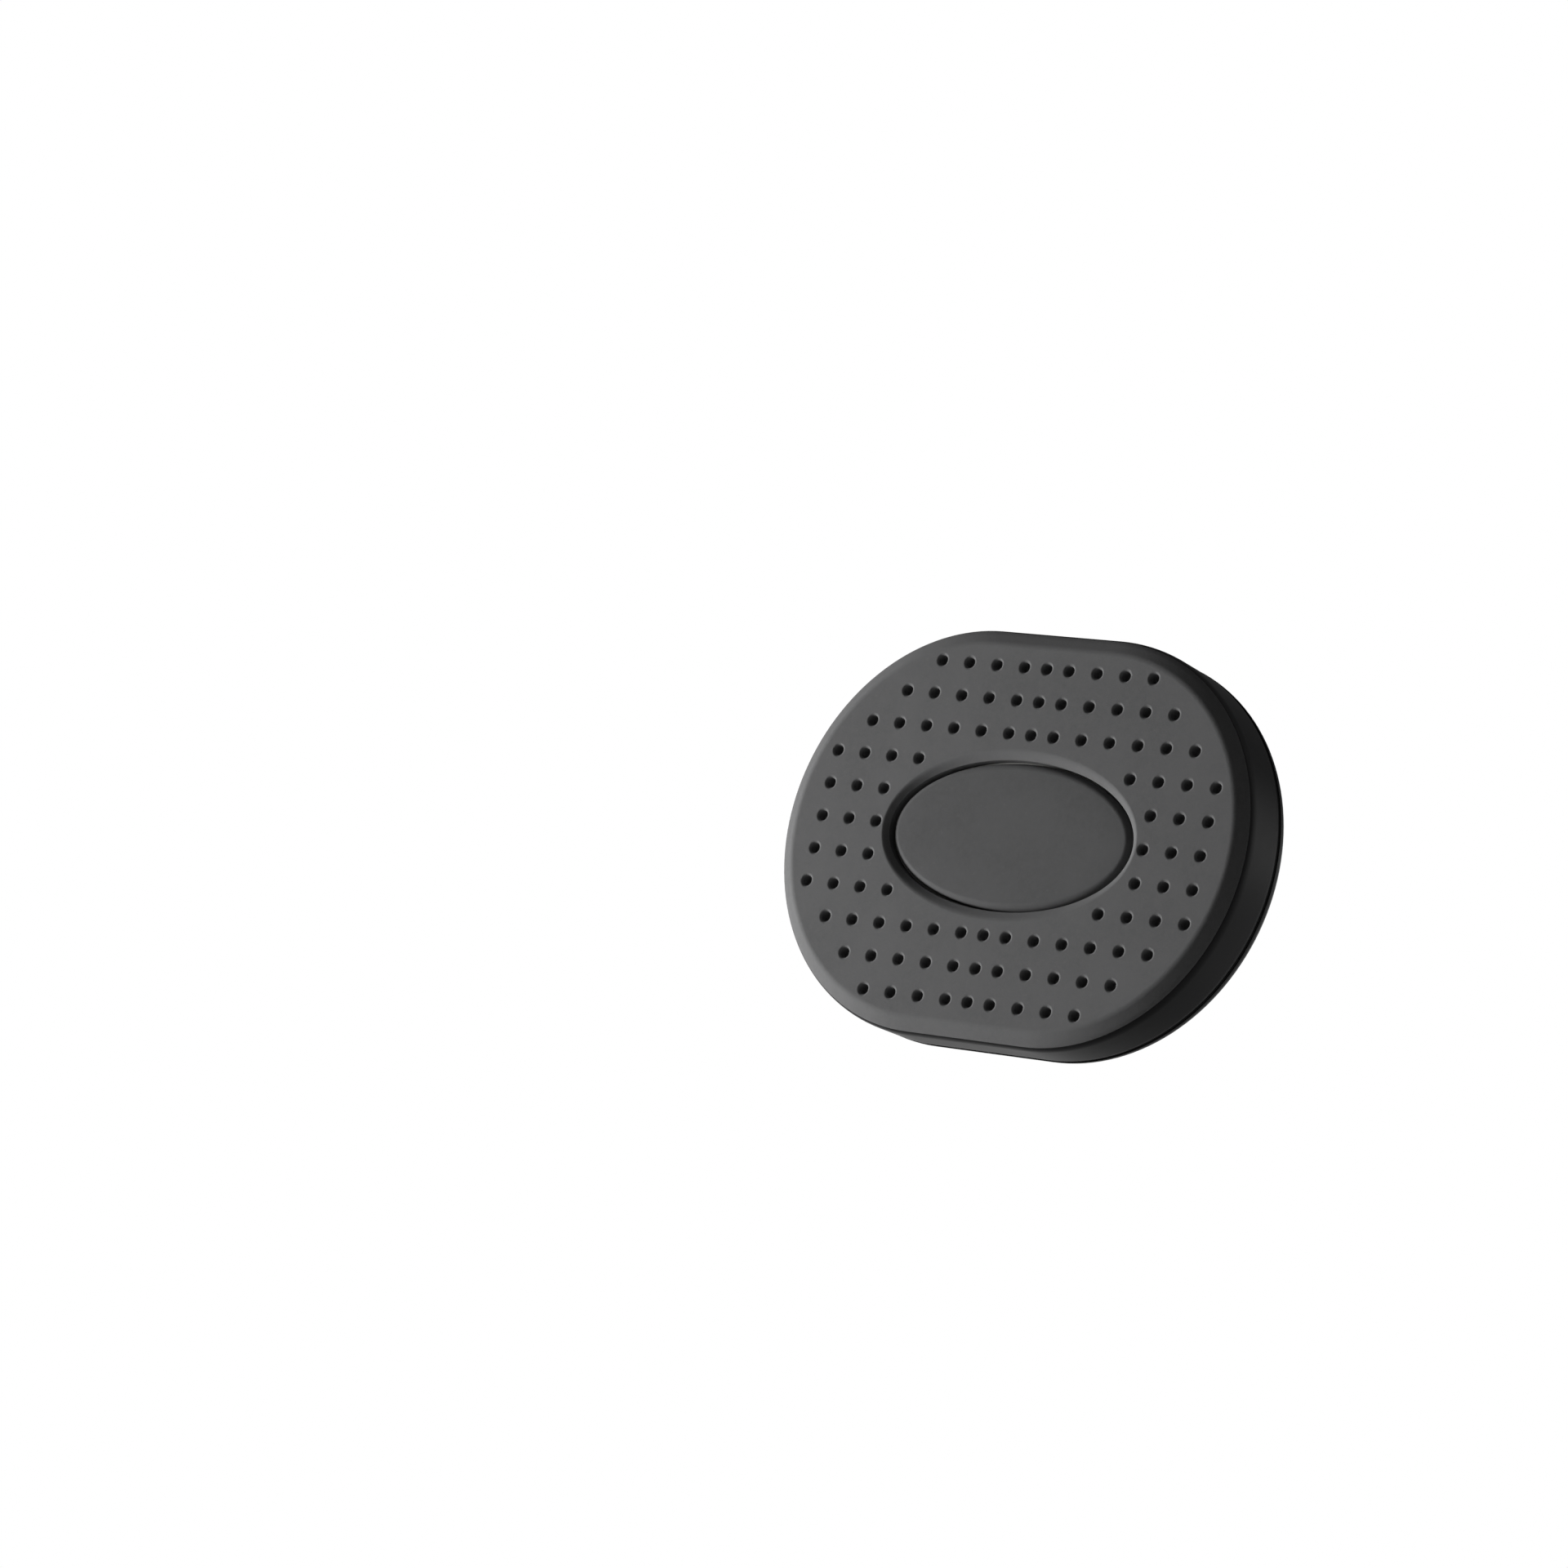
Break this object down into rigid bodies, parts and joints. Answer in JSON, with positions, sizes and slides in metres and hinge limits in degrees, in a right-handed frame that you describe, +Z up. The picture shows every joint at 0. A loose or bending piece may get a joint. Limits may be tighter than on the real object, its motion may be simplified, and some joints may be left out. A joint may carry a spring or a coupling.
{
  "type": "magnetic car phone holder",
  "caption": "Magnetic phone holder: pill-shaped head with a dimpled rubber face, on a ball joint with a tightening collar and a split-finger clip for a car's air-vent slat.",
  "frame": {"origin": "the middle of the slot between the clip's upper and lower grips, where the vent slat lies", "axes": "+Y points into the vent, away from the phone; +Z is up; +X runs along the slat and along the head's width. The head stands on the -Y side, tilted back 22 degrees as pictured"},
  "size_m": [0.0576, 0.0465, 0.0418],
  "materials": {
    "pad_rubber": "matt moulded rubber",
    "badge_rubber": "matt moulded rubber, bare",
    "shell_plastic": "soft-touch black",
    "socket_plastic": "satin black",
    "nut_plastic": "satin black, fluted",
    "hub_plastic": "fine spark-eroded black",
    "finger_plastic": "satin black",
    "grip_rubber": "matt silicone rubber",
    "band_rubber": "matt rubber",
    "tray_plastic": "plain grey moulding",
    "seat_nylon": "natural nylon",
    "tape": "double-sided foam tape",
    "magnet_nickel": "nickel-plated",
    "plate_steel": "zinc-plated sheet",
    "spring_steel": "bright spring steel",
    "stud_chrome": "polished chrome",
    "screw_steel": "black zinc"
  },
  "bodies": {
    "clip": {"ball_stud": "stud_chrome", "clip_hub": "hub_plastic", "stud_screw": "screw_steel", "closing_band": "band_rubber"},
    "seat": {"ball_seat": "seat_nylon"},
    "socket": {"ball_socket": "socket_plastic"},
    "head": {"grip_pad": "pad_rubber", "centre_badge": "badge_rubber", "pad_tape": "tape", "front_shell": "shell_plastic", "magnet_tray": "tray_plastic", "magnets": "magnet_nickel", "steel_plate": "plate_steel", "rear_shell": "shell_plastic", "shell_screws": "screw_steel", "swivel_washer": "spring_steel"},
    "nut": {"collar_nut": "nut_plastic"},
    "upper_right_finger": {"finger_upper_right": "finger_plastic", "grip_upper_right": "grip_rubber"},
    "upper_left_finger": {"finger_upper_left": "finger_plastic", "grip_upper_left": "grip_rubber"},
    "lower_right_finger": {"finger_lower_right": "finger_plastic", "grip_lower_right": "grip_rubber"},
    "lower_left_finger": {"finger_lower_left": "finger_plastic", "grip_lower_left": "grip_rubber"}
  },
  "joints": [
    {"name": "ball_pan", "type": "hinge", "parent": "clip", "child": "seat", "pos_m": [0, -0.02285, 0], "axis": [0, 0, 1], "range_deg": [-28, 28]},
    {"name": "ball_tilt", "type": "hinge", "parent": "seat", "child": "socket", "pos_m": [0, -0.02285, 0], "axis": [1, 0, 0], "range_deg": [-10, 54]},
    {"name": "head_roll", "type": "hinge", "parent": "socket", "child": "head", "pos_m": [0, -0.02285, 0], "axis": [0, -0.9272, 0.3746], "continuous": true},
    {"name": "nut_turn", "type": "hinge", "parent": "socket", "child": "nut", "pos_m": [0, -0.02285, 0], "axis": [0, -0.9272, 0.3746], "range_deg": [-90, 0]},
    {"name": "upper_right_open", "type": "hinge", "parent": "clip", "child": "upper_right_finger", "pos_m": [0, -0.00825, 0.00485], "axis": [1, 0, 0], "range_deg": [0, 6], "stiffness_Nm_per_rad": 0.05, "springref_deg": -5.73},
    {"name": "upper_left_open", "type": "hinge", "parent": "clip", "child": "upper_left_finger", "pos_m": [0, -0.00825, 0.00485], "axis": [1, 0, 0], "range_deg": [0, 6], "stiffness_Nm_per_rad": 0.05, "springref_deg": -5.73},
    {"name": "lower_right_open", "type": "hinge", "parent": "clip", "child": "lower_right_finger", "pos_m": [0, -0.00825, -0.00485], "axis": [-1, 0, 0], "range_deg": [0, 6], "stiffness_Nm_per_rad": 0.05, "springref_deg": -5.73},
    {"name": "lower_left_open", "type": "hinge", "parent": "clip", "child": "lower_left_finger", "pos_m": [0, -0.00825, -0.00485], "axis": [-1, 0, 0], "range_deg": [0, 6], "stiffness_Nm_per_rad": 0.05, "springref_deg": -5.73}
  ],
  "couplings": [
    {"joint": "upper_left_open", "follows": "upper_right_open", "ratio": 1},
    {"joint": "lower_right_open", "follows": "upper_right_open", "ratio": 1},
    {"joint": "lower_left_open", "follows": "upper_right_open", "ratio": 1}
  ]
}
